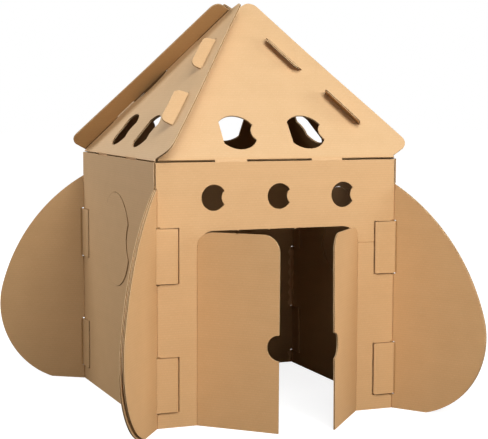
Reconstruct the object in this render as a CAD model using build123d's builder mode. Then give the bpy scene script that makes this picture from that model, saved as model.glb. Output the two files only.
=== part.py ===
"""Cardboard rocket playhouse: four die-cut sheets of corrugated board, folded and slotted together.

Each sheet is one wall, the roof triangle folded over it, a fin layer folded out at each of its
upright edges and, on some edges, tabs that pass through the next sheet and lie flat on it.
Millimetres, +Z up, origin on the floor at the middle of the whole footprint.
The front wall faces -Y. Left and right are as seen from in front of each wall.
"""

from build123d import *

import os
from math import acos, atan2, cos, degrees, hypot, radians, sin, sqrt, tan

# Board and cutting
board = 5.0                # thickness of the corrugated board
cut_width = 1.5            # width of a die-cut line between two parts of one sheet
slot_play = 3.0            # room at each end of a slot around its tab
seat_clearance = 0.3       # gap between two sheets that pass through or under each other
corner_round = 4.0         # rounded corners of the upright tabs and their windows

# Cabin
cabin_width = 800.0        # inside, from wall to wall, both ways
wall_height = 805.0        # floor to the fold at the eaves
roof_rise = 485.0          # eaves to the point of the roof, on the inner faces

# Fold along the eaves, cut through except at two bridges
eave_slit = 3.0            # height of the cut between wall and roof
bridge_width = 104.0       # length of each uncut stretch of the fold
bridge_spacing = 320.0     # between the middles of the two stretches

# Fins
fin_swing = 55.0           # fold of the slotted sheet's layer out of its wall, in degrees
fin_splay = 0.4            # how much further each layer springs away from its partner, in degrees
fin_top = 724.0            # where the outer edge meets the upright fold
fin_reach = 322.0          # widest distance from the fold
fin_belly_height = 257.0   # height of the widest place
fin_belly_radius = 261.0   # round of the belly
fin_shoulder = 15.5        # how far the belly's round runs on above the widest place, in degrees

# Upright tabs that tie neighbouring walls together
tab_reach = 68.0           # width of a tab on the face of the next wall
tab_length = 165.0         # height of a tab
tab_heights = (131.0, 522.5)   # middle of the lower and the upper tab

# Roof flanges and the roof tabs that pass through them
flange_width = 78.0        # board past the ridge, in the plane of the roof panel
flange_round = 32.0        # rounded ends of the flange
flange_foot = 10.0         # from the eaves to the flange, along the ridge
flange_head = 5.0          # from the flange to the point of the roof, along the ridge
roof_tab_reach = 45.0      # from the ridge to the outer edge of a roof tab
roof_tab_length = 154.0    # along the ridge
roof_tab_round = 14.0      # rounded outer corners of a roof tab
roof_tab_places = (236.0, 503.0)   # middles of the two roof tabs, along the ridge from the eaves

# Roof windows, round with a straight hinge side and a finger bump
window_radius = 66.0
window_height = 106.0      # middle of the window above the eaves, up the slope
window_spacing = 230.0     # between the middles of the two windows
window_hinge = 51.0        # from the middle to the straight side
window_bump_depth = 12.0   # how far the bump reaches in
window_bump_half = 29.0    # half of the bump's height

# Round flap cut into each side wall and left closed
flap_radius = 153.0
flap_height = 537.0
flap_hinge = 117.0
flap_bump_depth = 24.0
flap_bump_half = 57.0

# Doorway with two leaves folded out of the front sheet
door_width = 536.0
door_height = 595.0
door_round = 53.0          # rounded top corners of the doorway and its leaves
left_leaf_swing = 44.0     # degrees open
right_leaf_swing = 49.0
finger_hole_radius = 39.0  # half-round hole in the free edge of each leaf
finger_hole_height = 257.0

# Portholes over the doorway
porthole_count = 3
porthole_radius = 40.0
porthole_height = door_height + 100.0   # middle of the portholes
porthole_spacing = 216.0
porthole_bump_depth = 9.0
porthole_bump_half = 20.0

# Worked out from the sizes above
half = cabin_width / 2
slope = atan2(roof_rise, half)
slope_length = hypot(half, roof_rise)
ridge_length = hypot(half, slope_length)
hip_lean = degrees(atan2(half, slope_length))
flange_angle = acos(cos(slope) ** 2)     # between one roof panel's flange and the next panel
tuck = board / tan(flange_angle) + seat_clearance


def wall_plane(facing):
    """Inner face of the wall that faces `facing` degrees: x along it, y up, z outward."""
    outward = Vector(cos(radians(facing)), sin(radians(facing)), 0)
    along = Vector(-outward.Y, outward.X, 0)
    return Plane(origin=outward * half, x_dir=along, z_dir=outward)


def roof_plane(wall):
    """Inner face of the roof panel over a wall: x along the eaves, y up the slope, z outward."""
    normal = wall.z_dir * sin(slope) + Vector(0, 0, cos(slope))
    return Plane(origin=wall.origin + Vector(0, 0, wall_height), x_dir=wall.x_dir, z_dir=normal)


def ridge_plane(roof, side):
    """The roof panel's inner face again, from an eaves corner: x away to the right, y up the ridge."""
    return Plane(roof.location * Location((side * half, 0, 0), (0, 0, side * hip_lean)))


def folded_plane(wall, place, side, fold):
    """Inner face of a leaf folded outward at an upright crease: x away from the crease, y up."""
    bend = radians(fold)
    away = wall.x_dir * (side * cos(bend)) + wall.z_dir * sin(bend)
    face = wall.z_dir * cos(bend) - wall.x_dir * (side * sin(bend))
    return Plane(origin=wall.origin + wall.x_dir * place, x_dir=away, z_dir=face * side)


def bump_radius(depth, half_height):
    """Radius of the round that cuts `depth` deep across a chord of twice `half_height`."""
    return (half_height ** 2 + depth ** 2) / (2 * depth)


def notched_round(radius, hinge, bump_depth, bump_half):
    """Round cut-out with a bump reaching in on its right and, with a hinge, a straight left side."""
    bump = bump_radius(bump_depth, bump_half)
    bump_edge = sqrt(radius ** 2 - bump_half ** 2) - bump_depth
    with BuildSketch(mode=Mode.PRIVATE) as outline:
        Circle(radius)
        with Locations((bump_edge + bump, 0)):
            Circle(bump, mode=Mode.SUBTRACT)
        if hinge:
            with Locations((-hinge, 0)):
                Rectangle(radius, 2 * radius, align=(Align.MAX, Align.CENTER), mode=Mode.SUBTRACT)
    return outline.sketch


window_shape = notched_round(window_radius, window_hinge, window_bump_depth, window_bump_half)
porthole_shape = notched_round(porthole_radius, 0, porthole_bump_depth, porthole_bump_half)
flap_shape = notched_round(flap_radius, 0, flap_bump_depth, flap_bump_half)


def rounded_end(start, reach, length, radius):
    """Strip from x = start to x = reach, centred in y, with its two far corners rounded."""
    corners = [(start, -length / 2), (reach, -length / 2), (reach, length / 2), (start, length / 2)]
    with BuildSketch(mode=Mode.PRIVATE) as strip:
        with BuildLine():
            edge = FilletPolyline(*corners, radius=radius)
            Line(edge @ 1, edge @ 0)
        make_face()
    return strip.sketch


def fin_outline():
    """One fin layer, flat: the crease along x = 0, the belly bulging away from it, foot on the floor."""
    belly_x = fin_reach - fin_belly_radius
    foot_run = sqrt(fin_belly_radius ** 2 - fin_belly_height ** 2)
    foot = -degrees(atan2(fin_belly_height, foot_run))
    with BuildSketch(mode=Mode.PRIVATE) as outline:
        with BuildLine():
            belly = CenterArc((belly_x, fin_belly_height), fin_belly_radius, foot, fin_shoulder - foot)
            brow = TangentArc(belly @ 1, (0, fin_top), tangent=belly % 1)
            Polyline(brow @ 1, (0, 0), belly @ 0)
        make_face()
    return outline.sketch


fin_shape = fin_outline()


def fold_out_fin(wall, side, tabbed):
    """Fin layer at one upright edge, with windows left by the tabs or slots for the next sheet's."""
    fold = (90 - fin_swing if tabbed else fin_swing) + fin_splay
    bend = radians(fin_swing)
    cut_reach = tab_reach + 2 * board if tabbed else board * (cos(bend) + 2 * sin(bend))
    cut_round = corner_round if tabbed else slot_play / 2
    cut = rounded_end(-board, cut_reach + slot_play, tab_length + 2 * slot_play, cut_round)
    with BuildSketch(folded_plane(wall, side * half, side, fold)) as layer:
        add(fin_shape)
        with Locations(*[(0, height) for height in tab_heights]):
            add(cut, mode=Mode.SUBTRACT)
    extrude(layer.sketch, amount=side * board)


def fold_on_tabs(wall, side):
    """The two tabs at one upright edge, straight on through the slot and then along the next wall."""
    along = wall.x_dir
    lap_face = wall.origin + along * side * (half + board)
    tab_shape = rounded_end(-board, tab_reach, tab_length, corner_round)
    for height in tab_heights:
        with BuildSketch(wall) as strip:
            with Locations((side * half, height)):
                strip_align = (Align.MIN if side > 0 else Align.MAX, Align.CENTER)
                Rectangle(2 * board, tab_length, align=strip_align)
        extrude(strip.sketch, amount=board)
        with BuildSketch(Plane(origin=lap_face, x_dir=-wall.z_dir, z_dir=along)) as tab:
            with Locations((0, height)):
                add(tab_shape)
        extrude(tab.sketch, amount=side * board)


def eave_fold(wall):
    """The uncut stretches of the fold between wall and roof, as a mitred bend."""
    root = board
    miter = board * tan((radians(90) - slope) / 2)
    in_run, up_run = cos(slope), sin(slope)
    bend = [
        (0, wall_height - root),
        (board, wall_height - root),
        (board, wall_height + miter),
        (board * up_run - root * in_run, wall_height + board * in_run + root * up_run),
        (-root * in_run, wall_height + root * up_run),
        (0, wall_height),
    ]
    for place in (-bridge_spacing / 2, bridge_spacing / 2):
        end = wall.origin + wall.x_dir * (place + bridge_width / 2)
        with BuildSketch(Plane(origin=end, x_dir=wall.z_dir, z_dir=-wall.x_dir)) as bridge:
            with BuildLine():
                Polyline(*bend, close=True)
            make_face()
        extrude(bridge.sketch, amount=bridge_width)


def cut_eave_slits(top):
    """Takes the three slits out of a sketch whose fold line is at y = top."""
    bridge = bridge_spacing / 2 + bridge_width / 2
    middle = bridge_spacing - bridge_width
    with Locations((0, top)):
        Rectangle(middle, eave_slit, mode=Mode.SUBTRACT)
    for side in (-1, 1):
        with Locations((side * bridge, top)):
            outer = (Align.MIN if side > 0 else Align.MAX, Align.CENTER)
            Rectangle(half, eave_slit, align=outer, mode=Mode.SUBTRACT)


def roof_panel(wall):
    """Roof triangle with its windows, the slotted flange past its right ridge and two left tabs."""
    roof = roof_plane(wall)
    left_shift = tuck / cos(radians(hip_lean))
    point = (left_shift / 2, slope_length * (1 - left_shift / (2 * half)))
    with BuildSketch(roof) as panel:
        with BuildLine():
            Polyline((left_shift - half, 0), (half, 0), point, close=True)
        make_face()
        cut_eave_slits(0)
        with Locations(*[(side * window_spacing / 2, window_height) for side in (-1, 1)]):
            add(window_shape, mode=Mode.SUBTRACT)
    extrude(panel.sketch, amount=board)

    flange_length = ridge_length - flange_foot - flange_head
    slot_inner = -board / tan(flange_angle)
    slot_outer = board / sin(flange_angle)
    flange_shape = rounded_end(-board, flange_width, flange_length, flange_round)
    with BuildSketch(ridge_plane(roof, 1)) as flange:
        with Locations((0, flange_foot + flange_length / 2)):
            add(flange_shape)
    extrude(flange.sketch, amount=board)
    with BuildSketch(ridge_plane(roof, 1)) as slots:
        with Locations(*[((slot_inner + slot_outer) / 2, place) for place in roof_tab_places]):
            slot_width = slot_outer - slot_inner + 2 * seat_clearance
            Rectangle(slot_width, roof_tab_length + 2 * seat_clearance)
    extrude(slots.sketch, amount=board, mode=Mode.SUBTRACT)

    roof_tab_shape = rounded_end(-2 * tuck, roof_tab_reach, roof_tab_length, roof_tab_round)
    with BuildSketch(ridge_plane(roof, -1)) as tabs:
        with Locations(*[Location((0, place, 0), (0, 0, 180)) for place in roof_tab_places]):
            add(roof_tab_shape)
    extrude(tabs.sketch, amount=board)


def door_outline(left, right, top, radius):
    """Upright opening from x = left to x = right, rounded at its two top corners."""
    corners = [(left, 0), (left, top), (right, top), (right, 0)]
    with BuildSketch(mode=Mode.PRIVATE) as outline:
        with BuildLine():
            edge = FilletPolyline(*corners, radius=radius)
            Line(edge @ 1, edge @ 0)
        make_face()
    return outline.sketch


door_shape = door_outline(-door_width / 2, door_width / 2, door_height, door_round)


def door_leaf(wall, side, swing):
    """One leaf, folded out of the doorway, with a half-round finger hole in its free edge."""
    leaf_width = door_width / 2 - cut_width / 2
    leaf_shape = door_outline(0, leaf_width, door_height - cut_width, door_round)
    with BuildSketch(folded_plane(wall, -side * door_width / 2, side, swing)) as leaf:
        add(leaf_shape)
        with Locations((leaf_width, finger_hole_height)):
            Circle(finger_hole_radius, mode=Mode.SUBTRACT)
    extrude(leaf.sketch, amount=side * board)


def cut_flap_line(wall):
    """Cut around the closed round flap of a side wall, from its hinge round to its hinge."""
    with BuildSketch(wall) as cut_line:
        with Locations((0, flap_height)):
            add(flap_shape)
        offset(amount=-cut_width, mode=Mode.SUBTRACT)
        with Locations((-flap_hinge, flap_height)):
            beyond_hinge = (Align.MAX, Align.CENTER)
            Rectangle(flap_radius, 2 * flap_radius, align=beyond_hinge, mode=Mode.SUBTRACT)
    extrude(cut_line.sketch, amount=board, mode=Mode.SUBTRACT)


def wall_panel(wall, doorway):
    """Flat wall from floor to eaves, with the doorway and portholes on the front."""
    with BuildSketch(wall) as panel:
        Rectangle(cabin_width, wall_height, align=(Align.CENTER, Align.MIN))
        cut_eave_slits(wall_height)
        if doorway:
            add(door_shape, mode=Mode.SUBTRACT)
            with Locations((0, porthole_height)):
                with GridLocations(porthole_spacing, 0, porthole_count, 1):
                    add(porthole_shape, mode=Mode.SUBTRACT)
    extrude(panel.sketch, amount=board)


def sheet(facing, tabbed_sides, doorway=False, flap=False):
    """One whole sheet; tabbed_sides names the upright edges (-1 left, 1 right) that carry tabs."""
    wall = wall_plane(facing)
    with BuildPart() as folded:
        wall_panel(wall, doorway)
        roof_panel(wall)
        eave_fold(wall)
        for side in (-1, 1):
            fold_out_fin(wall, side, side in tabbed_sides)
            if side in tabbed_sides:
                fold_on_tabs(wall, side)
        if doorway:
            door_leaf(wall, 1, left_leaf_swing)
            door_leaf(wall, -1, right_leaf_swing)
        if flap:
            cut_flap_line(wall)
    return folded.part


sheets = {
    "front_sheet": sheet(-90, (), doorway=True),
    "right_sheet": sheet(0, (-1,), flap=True),
    "back_sheet": sheet(90, (-1, 1)),
    "left_sheet": sheet(180, (1,), flap=True),
}

# The fins lean towards the front, so the middle of the footprint is not the middle of the cabin.
boxes = [part.bounding_box() for part in sheets.values()]
middle_x = (min(box.min.X for box in boxes) + max(box.max.X for box in boxes)) / 2
middle_y = (min(box.min.Y for box in boxes) + max(box.max.Y for box in boxes)) / 2

os.makedirs("parts", exist_ok=True)
for name, part in sheets.items():
    placed = Pos(-middle_x, -middle_y) * part
    placed.label = name
    export_step(placed, f"parts/{name}.step")
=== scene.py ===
"""Cardboard rocket playhouse: four die-cut sheets of corrugated board, folded and slotted together.

Each sheet is drawn flat, as it lies on the cutting die, meshed with its open fluted edges and then
folded: the roof over the wall, a fin layer out at each upright edge, tabs round the next wall and,
in front, the two door leaves. Metres, +Z up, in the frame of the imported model.
"""

from math import acos, atan2, ceil, cos, hypot, pi, radians, sin, sqrt, tan

import bpy
import numpy as np
from bpy.props import FloatProperty, FloatVectorProperty, PointerProperty
from mathutils import Matrix, Vector
from mathutils.geometry import delaunay_2d_cdt


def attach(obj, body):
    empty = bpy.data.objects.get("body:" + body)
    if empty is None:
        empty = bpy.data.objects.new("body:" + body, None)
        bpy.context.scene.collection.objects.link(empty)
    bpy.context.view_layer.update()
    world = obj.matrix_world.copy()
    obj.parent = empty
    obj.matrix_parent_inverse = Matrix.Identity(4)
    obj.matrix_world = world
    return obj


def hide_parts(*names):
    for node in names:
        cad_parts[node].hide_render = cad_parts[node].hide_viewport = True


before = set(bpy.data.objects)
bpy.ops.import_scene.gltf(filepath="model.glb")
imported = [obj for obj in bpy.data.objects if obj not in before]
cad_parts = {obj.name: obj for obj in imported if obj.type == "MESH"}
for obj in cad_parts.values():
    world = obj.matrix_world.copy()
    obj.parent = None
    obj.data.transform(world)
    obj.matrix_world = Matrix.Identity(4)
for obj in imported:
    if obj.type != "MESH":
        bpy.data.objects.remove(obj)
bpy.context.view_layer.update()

bl_info = {
    "name": "Cardboard Rocket Playhouse",
    "version": (1, 0, 0),
    "blender": (4, 5, 0),
    "location": "View3D > Sidebar > Playhouse",
    "description": "Folds a playhouse out of corrugated board and sets up a studio stage around it",
    "category": "Add Mesh",
}

MM = 0.001

# The cabin's middle stands this far behind the middle of the whole footprint
CABIN_BACK = 38.64 * MM

# Die cutting
CUT_WIDTH = 1.5 * MM           # a cut line between two parts of one sheet
SLOT_PLAY = 4 * MM             # room at each end of a slot around its tab
SLOT_ROOM = 1.2 * MM           # room beside the fold of a tab in its slot
SEAT = 0.3 * MM                # gap between two sheets that pass through each other
CORNER_ROUND = 4 * MM          # corners of the upright tabs and of their windows
RELIEF = 1.5 * MM              # cut at the top end of a fin's crease
BRIDGE_WIDTH = 104 * MM        # each uncut stretch of the fold at the eaves
BRIDGE_SPACING = 320 * MM      # between the middles of the two stretches
OVERLAP = 1 * MM               # parts and cut-outs that meet overlap by this much
STRIP_GAP = 1 * MM             # between two pressed strips

# Half widths of the bends, on the inner liner
FIN_BEND = 4.5 * MM
LEAF_BEND = 3 * MM
TAB_BEND = 1.2 * MM
LIP_BEND = 1.5 * MM
EAVE_BEND = 1.5 * MM
CREASE_PRESS = 0.45            # share of the thickness that scoring takes away along a crease
HARD_PRESS = 0.7               # bridges that lose a larger share than this are nicked below
EAVE_MARK = (2.4 * MM, 0.5 * MM)   # the nick, from and to, below the fold

# Fins and upright tabs
FIN_SPLAY = radians(0.4)       # how much further each layer springs away from its partner
FIN_SHOULDER = radians(15.5)   # how far the belly's round runs on above the widest place
SWELL_POWER = 1.5              # how fast the swell of a fin's foot grows downwards
CURL_SHARE = 0.25              # outer share of a fin layer whose foot curls away from its partner
CURL_RISE = 80 * MM            # height over which the curl comes in, under the belly
TAB_HEIGHTS = (131 * MM, 522.5 * MM)
TAB_LIFT = radians(0.8)        # the folded tabs spring back by this much
LIP_LENGTH = 9 * MM            # end of a tab that dips into a slit in the next wall
LIP_DIP = radians(24)
LIP_SLIT = (5.2 * MM, 8 * MM)  # the slit runs this far past the tab's end and back under it
TAB_MARKS = (1.6 * MM, 2.2 * MM)   # gaps along the top and the bottom edge of a tab
SLOT_END = (11 * MM, 5 * MM, 5.5 * MM)     # dark end of a slot beside the fold: from, to, height
SLOT_WEB = 0.4 * MM            # board left between that end and the tab
NICK = (0.6 * MM, 4 * MM)      # board crushed by the tab, from and to, beyond the slot
GROOVE_FLOOR = 0.12            # share of the board that is left in a slit, a mark or a nick
GROOVE_SINK = 6 * MM           # how far the board is pushed in along a slit
MARK_SINK = 3 * MM             # how far it is pushed in along a mark
PRESS_WALL = 0.3 * MM          # width of the steep sides of a pressed strip

# Roof flanges and the tabs that pass through them, along the ridge from the eaves
FLANGE_ROUND = 32 * MM
FLANGE_FOOT = 10 * MM          # from the eaves to the flange
FLANGE_HEAD = 12 * MM          # from the flange to the point of the roof
ROOF_TAB_ROUND = 20 * MM
ROOF_TAB_PLACES = (236 * MM, 503 * MM)
TAB_SLANT = (0.6, 1.6)         # share of a roof tab's shortening at the ridge and at its outer edge
TORN_SLOT = (182 * MM, 266 * MM)   # stretch of the lower slot that can be torn wider
RIDGE_SAG = (266 * MM, 432 * MM)   # stretch of the left ridge where a panel can draw back
SAG_POWERS = (1.2, 0.7)        # these lean the sag towards the top and fill it out
SAG_STATIONS = 24

# Cut-outs: radius, straight hinge side, depth and half height of the finger bump
WINDOW_CUT = (66 * MM, 51 * MM, 12 * MM, 29 * MM)
PORTHOLE_CUT = (40 * MM, None, 9 * MM, 20 * MM)
FLAP_CUT = (153 * MM, 117 * MM, 24 * MM, 57 * MM)
FLAP_PROUD = radians(0.7)      # the closed flap stands open by this much
DOOR_ROUND = 53 * MM           # top corners of the doorway and of its leaves
FINGER_HOLE = (39 * MM, 257 * MM)  # radius and height
NUB_PLACES = (-137 * MM, -34 * MM, 53 * MM)    # torn bridges along the lintel
NUB = (2.6 * MM, 3 * MM)       # width and height of a torn bridge
SCORE_HEIGHT = 540.5 * MM      # scored line from the right leaf's hinge to the tab beside it
SCORE = (1.6 * MM, 1.8 * MM)   # its width and depth

# Tints of the two faces of the board, which paint light and shade: a painted highlight on the
# roof's outer face, painted shade on the inner face
ROOF_START = 800 * MM          # from this height up the flat sheet, the outer liner is painted paler and cooler: a painted highlight
ROOF_HIGHLIGHT_RAMP = 20 * MM            # height over which that painted highlight comes in
# tint of the painted highlight on the roof
ROOF_HIGHLIGHT_TINT = (1.0, 1.08, 1.2)
INNER_SHADE_TINT = (0.70, 0.65, 0.55)     # the inner liner is painted darker, as painted shade for the inside and the undersides
RIDGE_SHADE_BAND = (2.5 * MM, 5 * MM)   # painted shade on it in a band along the right ridge: middle, half width
# colour of that painted shade along the right ridge
RIDGE_SHADE = (0.3, 0.25, 0.2)

# Meshing
ARC_STEP = 5 * MM
ROUND_STEP = 1.2 * MM          # along small rounded corners
EDGE_STEP = 12 * MM
GRID_STEP = 19 * MM
CREASE_ROWS = 7                # rows of points across a bend
WAVE_SAMPLES = 6               # stations for each flute in an open edge
FLUTE_START = 0.3 * MM         # the fluted paper starts this far behind the cut edge
FLUTE_OVERRUN = 0.6 * MM       # and runs on this far behind the open flutes
MERGE = 0.01 * MM              # points nearer than this become one
SLIVER = 1e-12                 # triangles with less than half this area, in square metres, go
MITER_LIMIT = 1.6              # longest step into the board at a sharp point
SHARP = radians(35)            # edges sharper than this stay sharp in the shading

# Stage
PICTURE_WIDTH = 488            # pixels
SENSOR_WIDTH = 36              # millimetres
VIEW_RANGE = 100
FLOOR_REACH = 30
FLOOR_DROP = 0.5 * MM
GLOW_REACH = (0.9, 2.6)        # the floor's own glow grows between these distances
GLOW = (0.86, 1.02)
LAMPS = {                      # place, height of the point that it looks at, size and colour
    "high": ((-0.2, -3.4, 4.2), 0.7, 2.4, (1.0, 1.0, 1.0)),
    "front": ((0.6, -4.6, 2.7), 0.6, 1.6, (1.0, 0.99, 0.97)),
    "near": ((-3.0, -3.6, 2.2), 0.6, 1.8, (1.0, 1.0, 1.0)),
    "left": ((-3.4, 2.9, 2.6), 0.8, 2.2, (0.95, 0.98, 1.0)),
    "right": ((4.2, -2.4, 1.6), 0.6, 2.2, (1.0, 1.0, 1.0)),
}

# How a sheet departs from its drawing. Each sheet changes some of these
STRAIGHT = {
    "wall": 0,                 # bow of the wall at its middle
    "fin": 0,                  # sway of a fin's outer edge
    "fin_shift": 0,            # where along the fin's height the sway starts, as a share of it
    "gape": 0,                 # angle by which a tabbed fin layer stands off its partner
    "curl": 0,                 # how far the foot of such a layer curls away
    "swell": 0,                # how much further its foot reaches out
    "leaf": 0,                 # twist of a door leaf
    "roof": 0,                 # bow of the roof panel at its middle
    "flange": 0,               # wave of the flange's outer edge
    "flange_shift": 0,         # where the wave starts, as an angle
    "flange_trim": (0, 0),     # added to the flange's width at its foot and at its head
    "roof_tab": (0, 0),        # curl of the lower and the upper roof tab
    "tab_trim": (0, 0),        # added to their reach
    "tab_short": (0, 0),       # taken off their upper ends
    "slit": 0,                 # height of the cut between wall and roof
    "eave_press": 0,           # share of the board that is pressed away along the bridges
    "ridge_gap": 3 * MM,       # room at the left ridge, under the next sheet's flange
    "ridge_sag": 0,            # how far the panel draws back there between its tabs
    "slot_gap": 0,             # how much wider the lower slot is torn
    "corner_gap": (0, 0),      # board missing above the left and the right fin
}


def linear(colour):
    """Turns an sRGB hex colour into the linear RGB that shaders work in."""
    parts = [int(colour[i:i + 2], 16) / 255 for i in (1, 3, 5)]
    return tuple(c / 12.92 if c <= 0.04045 else ((c + 0.055) / 1.055) ** 2.4 for c in parts)


class PlayhouseSizes(bpy.types.PropertyGroup):
    """Sizes of the cabin, its roof, its fins and its ties."""

    board: FloatProperty(
        name="Board", description="Thickness of the corrugated board",
        default=5 * MM, unit="LENGTH")
    cabin_width: FloatProperty(
        name="Cabin width", description="Inside width from wall to wall, both ways",
        default=800 * MM, unit="LENGTH")
    wall_height: FloatProperty(
        name="Wall height", description="Floor to the fold at the eaves",
        default=805 * MM, unit="LENGTH")
    roof_rise: FloatProperty(
        name="Roof rise", description="Eaves to the point of the roof",
        default=485 * MM, unit="LENGTH")
    fin_swing: FloatProperty(
        name="Fin swing", description="Fold of a slotted sheet's fin layer out of its wall",
        default=radians(55), subtype="ANGLE")
    fin_top: FloatProperty(
        name="Fin top", description="Height where a fin's outer edge meets the upright fold",
        default=724 * MM, unit="LENGTH")
    fin_reach: FloatProperty(
        name="Fin reach", description="Widest distance of a fin from the fold",
        default=322 * MM, unit="LENGTH")
    fin_belly_height: FloatProperty(
        name="Belly height", description="Height of the widest place of a fin",
        default=253 * MM, unit="LENGTH")
    fin_belly_radius: FloatProperty(
        name="Belly radius", description="Round of a fin's belly",
        default=261 * MM, unit="LENGTH")
    tab_reach: FloatProperty(
        name="Tab reach", description="Width of an upright tab on the face of the next wall",
        default=68 * MM, unit="LENGTH")
    tab_length: FloatProperty(
        name="Tab length", description="Height of an upright tab",
        default=165 * MM, unit="LENGTH")
    flange_width: FloatProperty(
        name="Flange width", description="Board that runs on past the ridge",
        default=78 * MM, unit="LENGTH")
    roof_tab_reach: FloatProperty(
        name="Roof tab reach", description="Ridge to the outer edge of a roof tab",
        default=45 * MM, unit="LENGTH")
    roof_tab_length: FloatProperty(
        name="Roof tab length", description="Length of a roof tab along the ridge",
        default=154 * MM, unit="LENGTH")


class PlayhouseOpenings(bpy.types.PropertyGroup):
    """Places and sizes of the doorway, the leaves, the portholes and the windows."""

    door_width: FloatProperty(
        name="Door width", description="Width of the doorway between its two hinge creases",
        default=536 * MM, unit="LENGTH")
    door_height: FloatProperty(
        name="Door height", description="Floor to the top of the doorway",
        default=595 * MM, unit="LENGTH")
    left_leaf_swing: FloatProperty(
        name="Left leaf", description="How far the left leaf is open",
        default=radians(44), subtype="ANGLE")
    right_leaf_swing: FloatProperty(
        name="Right leaf", description="How far the right leaf is open",
        default=radians(49), subtype="ANGLE")
    porthole_height: FloatProperty(
        name="Porthole height", description="Floor to the middle of the portholes",
        default=695 * MM, unit="LENGTH")
    porthole_spacing: FloatProperty(
        name="Porthole spacing", description="Between the middles of two portholes",
        default=216 * MM, unit="LENGTH")
    window_height: FloatProperty(
        name="Window height", description="Eaves to the middle of a roof window, up the slope",
        default=106 * MM, unit="LENGTH")
    window_spacing: FloatProperty(
        name="Window spacing", description="Between the middles of the two roof windows",
        default=230 * MM, unit="LENGTH")
    flap_height: FloatProperty(
        name="Flap height", description="Floor to the middle of the round flap in a side wall",
        default=537 * MM, unit="LENGTH")


class PlayhouseBoard(bpy.types.PropertyGroup):
    """Make-up and colours of the corrugated board."""

    flute_pitch: FloatProperty(
        name="Flute pitch", description="Distance from one flute to the next",
        default=7.2 * MM, unit="LENGTH")
    liner: FloatProperty(
        name="Liner", description="Thickness of a liner at the cut edge",
        default=0.8 * MM, unit="LENGTH")
    medium: FloatProperty(
        name="Medium", description="Thickness of the fluted paper",
        default=0.6 * MM, unit="LENGTH")
    flute_depth: FloatProperty(
        name="Flute depth", description="How deep the open flutes are modelled at a cut edge",
        default=3.2 * MM, unit="LENGTH")
    kraft: FloatVectorProperty(
        name="Kraft", description="Main colour of the kraft liner",
        default=linear("#D2A673"), subtype="COLOR", min=0, max=1)
    kraft_pale: FloatVectorProperty(
        name="Pale kraft", description="Pale fibres and rubbed places",
        default=linear("#DDB688"), subtype="COLOR", min=0, max=1)
    kraft_dark: FloatVectorProperty(
        name="Dark kraft", description="Dark fibres and clouds",
        default=linear("#BF915D"), subtype="COLOR", min=0, max=1)
    cut_edge: FloatVectorProperty(
        name="Cut edge", description="Freshly cut liner",
        default=linear("#F0D9B2"), subtype="COLOR", min=0, max=1)
    fluting: FloatVectorProperty(
        name="Fluting", description="Fluted paper between the liners",
        default=linear("#B98F5C"), subtype="COLOR", min=0, max=1)


class PlayhouseStage(bpy.types.PropertyGroup):
    """Camera, light and floor."""

    camera_place: FloatVectorProperty(
        name="Camera place", description="Where the camera stands",
        default=(-1.6412, -4.1686, 1.0033), subtype="TRANSLATION", unit="LENGTH")
    heading: FloatProperty(
        name="Heading", description="Turn of the view from straight ahead towards the right",
        default=radians(21.83), subtype="ANGLE")
    pitch: FloatProperty(
        name="Pitch", description="How far the camera looks down",
        default=radians(5.26), subtype="ANGLE")
    roll: FloatProperty(
        name="Roll", description="Tilt of the camera about its line of sight",
        default=radians(0.2), subtype="ANGLE")
    focal_pixels: FloatProperty(
        name="Focal length in pixels", description="Focal length in pixels of the picture's width",
        default=1349, min=1)
    high_power: FloatProperty(
        name="High lamp", description="Power of the main soft lamp, high in front",
        default=148, unit="POWER")
    front_power: FloatProperty(
        name="Front lamp", description="Power of the soft lamp in front",
        default=106, unit="POWER")
    near_power: FloatProperty(
        name="Near left lamp", description="Power of the soft lamp in front on the left",
        default=30, unit="POWER")
    left_power: FloatProperty(
        name="Left lamp", description="Power of the soft lamp behind on the left",
        default=143, unit="POWER")
    right_power: FloatProperty(
        name="Right lamp", description="Power of the soft lamp on the right",
        default=78, unit="POWER")
    ambient: FloatProperty(
        name="Ambient", description="Strength of the even light from all round",
        default=0.05, min=0)
    ground: FloatVectorProperty(
        name="Ground", description="Colour of the floor as the lamps see it",
        default=linear("#6A6660"), subtype="COLOR", min=0, max=1)


def settings():
    """The scene's property groups: sizes, openings, board and stage."""
    return tuple(getattr(bpy.context.scene, name) for name in GROUPS)


# Outlines on the cutting die


def arc(centre, radius, start, end, step=ARC_STEP):
    """Points along an arc from one angle to another, both ends included."""
    count = max(2, int(ceil(abs(end - start) * radius / step)) + 1)
    angles = np.linspace(start, end, count)
    return np.array(centre) + radius * np.column_stack((np.cos(angles), np.sin(angles)))


def densify(outline, step=EDGE_STEP):
    """Closed outline with points added so that no edge is longer than step."""
    dense = []
    for here, there in zip(outline, np.roll(outline, -1, axis=0)):
        count = max(1, int(ceil(np.linalg.norm(there - here) / step)))
        dense += [here + (there - here) * i / count for i in range(count)]
    return np.array(dense)


def rectangle(left, bottom, right, top):
    """Closed rectangle, anticlockwise."""
    return densify(np.array([(left, bottom), (right, bottom), (right, top), (left, top)], float))


def rounded_end(start, reach, length, radius):
    """Strip from x = start to x = reach, centred in y, with its two far corners rounded."""
    low = arc((reach - radius, radius - length / 2), radius, -pi / 2, 0, ROUND_STEP)
    high = arc((reach - radius, length / 2 - radius), radius, 0, pi / 2, ROUND_STEP)
    return densify(np.vstack(([(start, -length / 2)], low, high, [(start, length / 2)])))


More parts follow.
